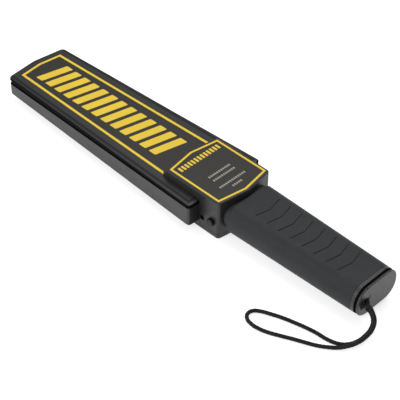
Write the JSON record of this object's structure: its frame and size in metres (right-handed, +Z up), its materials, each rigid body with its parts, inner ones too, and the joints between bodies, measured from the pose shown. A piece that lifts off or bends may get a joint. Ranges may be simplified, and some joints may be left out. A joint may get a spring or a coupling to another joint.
{
  "type": "security metal detector wand",
  "caption": "Hand-held metal detector with a tapered flat search blade, a raised control hood, a ribbed grip, a pull-off end cap and a looped wrist strap.",
  "frame": {"origin": "under the middle of the wand, on the surface that it lies on", "axes": "+X along the wand from the blade tip to the butt of the handle, +Y to the side with the slide switch and lamps, +Z up, out of the labelled face"},
  "size_m": [0.4273, 0.123, 0.0378],
  "materials": {
    "front_plastic": "fine satin grain",
    "rear_plastic": "fine satin grain",
    "grip_rubber": "matt, moulded",
    "cap_plastic": "fine satin grain",
    "dark_plastic": "as moulded",
    "strap_weave": "braided",
    "board_green": "solder mask",
    "chip_black": "epoxy",
    "switch_steel": "stamped",
    "plain_steel": "plain",
    "brass": "turned",
    "blue_plastic": "moulded",
    "red_lens": "clear tinted epoxy",
    "green_lens": "clear tinted epoxy",
    "battery_case": "plain jacket",
    "foam_grey": "closed-cell foam",
    "cream_plastic": "as moulded",
    "enamel_copper": "lacquered enamelled wire",
    "black_wire": "sleeved wire",
    "red_wire": "sleeved wire"
  },
  "bodies": {
    "wand": {"battery": "battery_case", "battery_lead_black": "black_wire", "battery_lead_red": "red_wire", "battery_snap": "dark_plastic", "board_screw_1": "plain_steel", "board_screw_2": "plain_steel", "buzzer": "chip_black", "capacitor_1": "chip_black", "capacitor_2": "chip_black", "case_screw_1": "plain_steel", "case_screw_2": "plain_steel", "case_screw_3": "plain_steel", "case_screw_4": "plain_steel", "case_screw_5": "plain_steel", "case_screw_6": "plain_steel", "case_screw_7": "plain_steel", "case_screw_8": "plain_steel", "coil_foam": "foam_grey", "coil_former": "cream_plastic", "coil_lead": "black_wire", "front_shell": "front_plastic", "green_lamp": "green_lens", "grip_sleeve": "grip_rubber", "handle_core": "dark_plastic", "handle_screw": "plain_steel", "jack_socket": "dark_plastic", "main_board": "board_green", "processor_chip": "chip_black", "rear_shell": "rear_plastic", "receive_winding": "enamel_copper", "red_lamp": "red_lens", "sensitivity_trimmer": "blue_plastic", "slide_switch": "switch_steel", "tact_switch": "switch_steel", "transmit_winding": "enamel_copper", "vibration_motor": "plain_steel"},
    "end_cap": {"end_cap": "cap_plastic", "battery_pad": "foam_grey", "strap_hitch": "strap_weave", "strap_cord": "strap_weave"},
    "push_button": {"push_button": "dark_plastic", "button_plunger": "chip_black"},
    "power_switch": {"switch_knob": "dark_plastic"},
    "trimmer_rotor": {"trimmer_rotor": "brass"},
    "eccentric_weight": {"eccentric_weight": "brass"}
  },
  "joints": [
    {"name": "end_cap_pull", "type": "slide", "parent": "wand", "child": "end_cap", "axis": [1, 0, 0], "range_m": [0, 0.018]},
    {"name": "button_press", "type": "slide", "parent": "wand", "child": "push_button", "axis": [0, 1, 0], "range_m": [0, 0.0008], "stiffness_N_per_m": 1500, "springref_m": -0.0008},
    {"name": "switch_slide", "type": "slide", "parent": "wand", "child": "power_switch", "axis": [1, 0, 0], "range_m": [-0.0025, 0.0025]},
    {"name": "trimmer_turn", "type": "hinge", "parent": "wand", "child": "trimmer_rotor", "pos_m": [0.024, 0.01, 0.0115], "axis": [0, 0, 1], "range_deg": [-135, 135]},
    {"name": "motor_spin", "type": "hinge", "parent": "wand", "child": "eccentric_weight", "pos_m": [0.02, -0.008, 0.0279], "axis": [0, 1, 0], "continuous": true}
  ]
}
